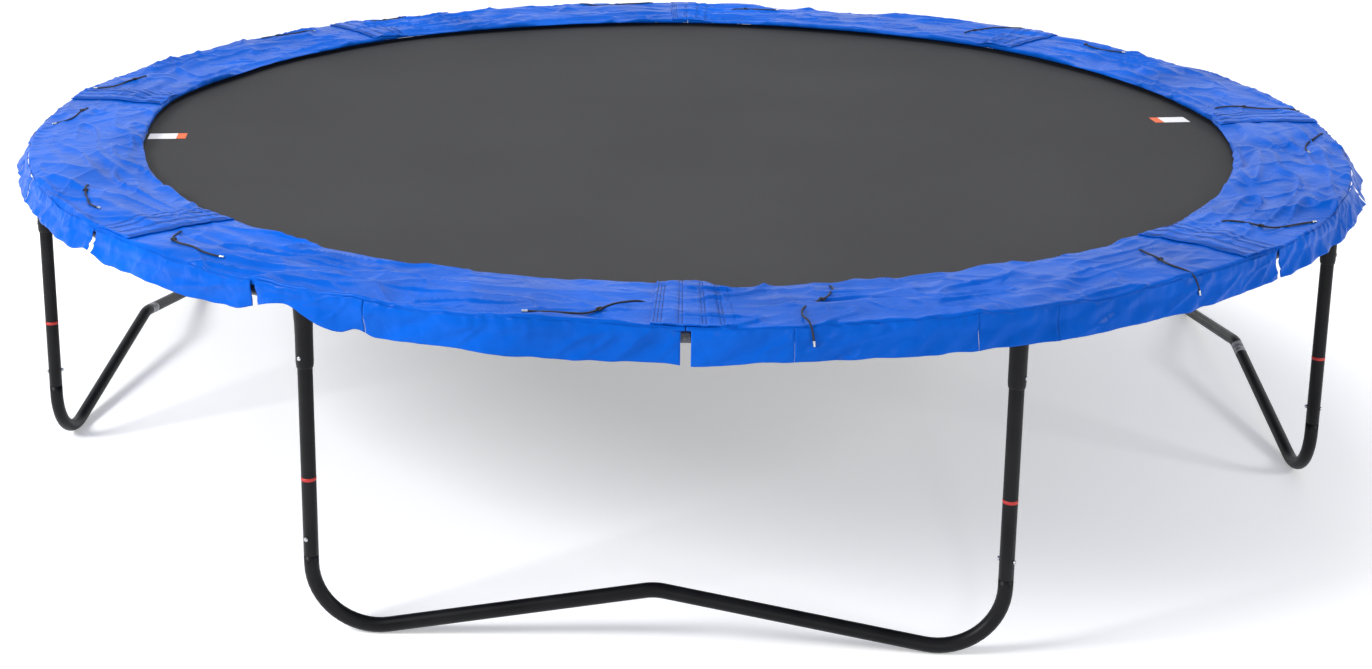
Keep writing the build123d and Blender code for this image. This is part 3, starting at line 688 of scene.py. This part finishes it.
# ---------------------------------------------------------------- springs and their rings
# A bent wire triangle in the webbing for each of 96 close-wound zinc-plated springs, which
# hook through the triangle and into a hole of the ring.
WIRE, SPRINGS = 1.6, 96
bm = bmesh.new()
bent_tube(bm, [(1876, 0, 883), (1876, 15, 883), (1909, 0, 883), (1876, -15, 883), (1876, 0, 883)],
          [3.0, 3.0, 3.0], 1.9, 6, 4, capped=False)
bmesh.ops.remove_doubles(bm, verts=bm.verts[:], dist=0.05)
bmesh.ops.rotate(bm, cent=(0, 0, 0), matrix=Matrix.Rotation(radians(360 * 0.5 / SPRINGS), 3, "Z"),
                 verts=bm.verts[:])
bmesh.ops.spin(bm, geom=bm.verts[:] + bm.edges[:] + bm.faces[:], cent=(0, 0, 0), axis=(0, 0, 1),
               angle=radians(360 * (SPRINGS - 1) / SPRINGS), steps=SPRINGS - 1, use_duplicate=True)
spring_rings = add_piece("spring_rings", bm, [zinc])
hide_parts("spring_rings")
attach(spring_rings, "mat_panel")

spring_shape = bmesh.new()
edges = ring_of(spring_shape, (1928, 9.4, 0), (0, 0, 1), WIRE, 4)
# forty close turns over 146 mm, seven faces to a turn
bmesh.ops.spin(spring_shape, geom=edges, cent=(0, 0, 0), axis=(1, 0, 0), dvec=(146 / 280, 0, 0),
               angle=80 * pi, steps=280)
bent_tube(spring_shape, [(1895, 0, -9), (1895, 0, 0), (1928, 0, 0), (1928, 9.4, 0)], [4.0, 2.5], WIRE, 6, 3)
bent_tube(spring_shape, [(2074, 9.4, 0), (2074, 0, 0), (2106, 0, 0), (2106, 0, -9)], [2.5, 4.0], WIRE, 6, 3)
bmesh.ops.translate(spring_shape, vec=(0, 0, 887), verts=spring_shape.verts[:])
for k in range(SPRINGS):
    angle = 360.0 * (k + 0.5) / SPRINGS
    bm = spring_shape.copy()
    bmesh.ops.rotate(bm, cent=(0, 0, 0), matrix=Matrix.Rotation(radians(angle), 3, "Z"),
                     verts=bm.verts[:])
    spring = add_piece(f"spring_{k + 1:02d}", bm, [zinc])
    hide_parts("springs")
    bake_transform(spring)
spring_shape.free()

# ---------------------------------------------------------------- spring cover
# Blue PVC over foam in eight sections. Each has a stitched flap that laps over its
# neighbour, and a hanging skirt slit beside the uprights and where its pieces join.
STITCH_LINES = [6.0, 14.0, 22.0, 60.0, 68.0, 112.0, 120.0, 152.0, 160.0]

# Soft calendered PVC: glossy and strongly coloured, with shallow dents and a leather grain.
vinyl, vinyl_shader = new_material("glossy blue PVC", "#0A50A8", 0.17, Specular_IOR_Level=0.05)
place = node(vinyl, "TexCoord").outputs["Object"]
cloud = node(vinyl, "TexNoise", {"Vector": place, "Scale": 2.2, "Detail": 6.0, "Roughness": 0.6})
grain = node(vinyl, "TexNoise", {"Vector": place, "Scale": 380.0, "Detail": 3.0})
dent = node(vinyl, "TexNoise", {"Vector": place, "Scale": 10.0, "Detail": 2.0, "Distortion": 1.3})
node(vinyl, "ValToRGB", {"Fac": cloud.outputs["Fac"]}, vinyl_shader.inputs["Base Color"],
     ((0.3, "#0348A4"), (0.72, "#085DCB")))
node(vinyl, "MapRange", {"Value": dent.outputs["Fac"], "To Min": 0.2, "To Max": 0.4},
     to=vinyl_shader.inputs["Roughness"])
coarse = node(vinyl, "Bump", {"Height": dent.outputs["Fac"], "Strength": 0.35, "Distance": 0.012})
node(vinyl, "Bump", {"Height": grain.outputs["Fac"], "Strength": 0.12, "Distance": 0.0005,
                     "Normal": coarse.outputs["Normal"]}, to=vinyl_shader.inputs["Normal"])
thread, thread_shader = new_material("navy thread", "#082257", 0.7)
place = node(thread, "TexCoord").outputs["Object"]
ply = node(thread, "TexNoise", {"Vector": place, "Scale": 900.0})
node(thread, "Bump", {"Height": ply.outputs["Fac"], "Strength": 0.5, "Distance": 0.0004},
     to=thread_shader.inputs["Normal"])


def outwards(centre):
    return Vector((centre.x, centre.y, 0))


def cloth(columns, rows, shape):
    """A grid laid out by a shape, which takes arrays from 0 to 1 along and across it."""
    bm = bmesh.new()
    bmesh.ops.create_grid(bm, x_segments=columns, y_segments=rows, size=0.5)
    at = np.array([v.co for v in bm.verts]) + 0.5
    angle, radius, height = shape(at[:, 0], at[:, 1])
    turn = np.radians(angle)
    for v, x, y, z in zip(bm.verts, radius * np.cos(turn), radius * np.sin(turn), height):
        v.co = (x, y, z)
    return bm


def inner_sway(angle, low, high):
    """The inner edge runs nearly straight between seams, and wanders a little."""
    s = (np.asarray(angle, float) % 360) * ARC
    along = (angle - low) / (high - low)
    return (8.0 - 20.0 * np.sin(pi * np.clip(along, 0, 1)) + 7.0 * noise(s / 330, 0.5, 30)
            + 2.5 * noise(s / 45, 0.5, 31))


# the cross-section of a section: over the top from the inner edge, and back underneath
top_r = np.concatenate([[PAD_INNER + 1.5, PAD_INNER + 4], np.linspace(PAD_INNER + 8, PAD_OUTER - 14, 74),
                        [PAD_OUTER - 9, PAD_OUTER - 5, PAD_OUTER - 2, PAD_OUTER - 0.5]])
top_drop = np.zeros(len(top_r))
top_drop[:2], top_drop[-3:] = (5.0, 1.6), (1.5, 4.5, 9.0)
under_r = [PAD_OUTER - 1.5, PAD_OUTER - 5, 2100.0, 2040.0, 1960.0, 1880.0, PAD_INNER + 4, PAD_INNER]
under_z = [911.5, 910.0, 910.0, 908.3, 905.5, 902.5, 899.6, 902.5]
profile_r = np.concatenate([top_r, under_r])
profile_flat = np.concatenate([np.zeros(len(top_r)), under_z])
profile_drop = np.concatenate([top_drop, np.zeros(len(under_r))])

# where the skirt is slit, and how wide in degrees
SLITS = [(-117.6, 0.45), (-108.9, 0.05), (-81.3, 0.02), (-69.3, 0.03), (-63.5, 0.02), (-28.6, 0.04),
         (-19.4, 0.6), (19.6, 0.25), (28.8, 0.06), (61.0, 0.06), (69.5, 0.06), (110.5, 0.06), (118.5, 0.15),
         (151.5, 0.06), (160.0, 0.06), (199.6, 0.25), (208.2, 0.15)]
# where the hem is pulled up or hangs down: middle, half width in degrees, millimetres up
HEM = [(-115.2, 2.6, 40.0), (-109.5, 0.9, 14.0), (-86.3, 2.0, -9.0), (-136.0, 1.6, 22.0), (-60.0, 6.0, -5.0),
       (-98.0, 7.0, -6.0), (-30.0, 3.0, -6.0)]
seam_gap = {0: 0.65, 1: 0.4, 7: 0.5}

for i in range(8):
    low, high = COVER_SEAMS[i], COVER_SEAMS[i + 1]

    def body_shape(u, v):
        index = np.rint(v * len(profile_r)).astype(int) % len(profile_r)
        angle, radius = low + 0.03 + u * (high - low - 0.06), profile_r[index]
        on_top = index < len(top_r)
        folded = plain_cover(radius) + folds(radius, angle) - profile_drop[index]
        height = np.where(on_top, np.maximum(folded, 903.5), profile_flat[index])
        sway = inner_sway(angle, low, high) * np.clip((PAD_INNER + 120 - radius) / 120, 0, 1)
        return angle, radius + sway, height

    pad_shape = cloth(330, len(profile_r), body_shape)
    bmesh.ops.remove_doubles(pad_shape, verts=pad_shape.verts[:], dist=0.01)
    bmesh.ops.holes_fill(pad_shape, edges=[e for e in pad_shape.edges if e.is_boundary], sides=0)
    whole = bmesh.new()
    put_in(whole, pad_shape)

    # a flap over the neighbour, at whichever ends of this section have one
    for seam, own in ((i, -1), ((i + 1) % 8, 1)):
        if flap_side(seam) != own:
            continue
        edge = FLAP_EDGES[seam] + (360.0 if i == 7 and seam == 0 else 0.0)

        def flap_shape(u, v):
            away = u * FLAP_WIDTH
            angle, radius = edge - own * away / ARC, PAD_INNER - 1 + v * (PAD_OUTER - 4 - PAD_INNER)
            lift = (FLAP_LIFT * np.clip((FLAP_WIDTH - away) / FLAP_TAPER, 0, 1)
                    + 0.5 * noise(angle * 4, radius / 20, 40))
            for line in STITCH_LINES:
                lift = lift - 2.2 * np.exp(-((away - line) / 3.2) ** 2)
            lift = lift + 1.6 * np.exp(-away / 8) * noise(radius / 40, 0.5, 41)
            sway = inner_sway(angle, low, high) * np.clip((PAD_INNER + 120 - radius) / 120, 0, 1)
            return angle, radius + sway, plain_cover(radius) + folds(radius, angle) + lift - 3.0 * (v < 0.01)

        flap = cloth(54, 66, flap_shape)
        thicken(flap, 3.0, upwards)
        put_in(whole, flap)
        sewing = bmesh.new()
        for line in STITCH_LINES:
            at = edge - own * line / ARC
            for radius in np.arange(PAD_INNER + 24, PAD_OUTER - 16, 7.0):
                lift = FLAP_LIFT * min(1, (FLAP_WIDTH - line) / FLAP_TAPER) - 1.6
                height = float(plain_cover(radius) + folds(radius, at)) + lift
                bmesh.ops.create_cube(sewing, size=1.0, matrix=(
                    Matrix.Translation(polar(radius, at, height)) @ Matrix.Rotation(radians(at), 4, "Z")
                    @ Matrix.Diagonal((4.6, 1.3, 1.2, 1.0))))
        put_in(whole, sewing, 1)

    # hanging panels between the slits, puckered where they're sewn on
    cuts = [(low, seam_gap.get(i, 0.05))]
    cuts += [(c + t, w) for c, w in SLITS for t in (0.0, 360.0) if low < c + t < high]
    cuts.append((high, seam_gap.get((i + 1) % 8, 0.05)))
    for (left, left_gap), (right, right_gap) in zip(cuts, cuts[1:]):
        l, h = left + left_gap / 2, right - right_gap / 2

        def skirt_shape(u, v):
            angle = l + u * (h - l)
            s = (angle % 360) * RIM_ARC
            hang = SKIRT_HANG + 5.0 * noise(s / 260, 0.5, 50) + 2.0 * noise(s / 45, 0.5, 51)
            for middle, width, up in HEM:
                hang = hang - up * np.exp(-(away_from(angle, middle) / ARC / width) ** 2)
            hang = hang - 0.28 * hang * np.abs(np.cos(np.radians(angle))) ** 4
            corner = np.maximum(np.exp(-(angle - l) * RIM_ARC / 34), np.exp(-(h - angle) * RIM_ARC / 34))
            radius = skirt_radius(angle, v) + 8.0 * corner * v ** 2 * (0.5 + noise(s / 400, 0.2, 57))
            return angle, radius, SKIRT_TOP + folds(PAD_OUTER - 3.0, angle) * 0.6 * (1 - v) - hang * v

        skirt = cloth(max(12, int((h - l) * ARC / 5)), 22, skirt_shape)
        thicken(skirt, 1.6, outwards)
        put_in(whole, skirt)
    pad = add_piece(f"pad_{i + 1}", whole, [vinyl, thread])
    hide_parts(f"pad_{i + 1}")
    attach(pad, "frame")
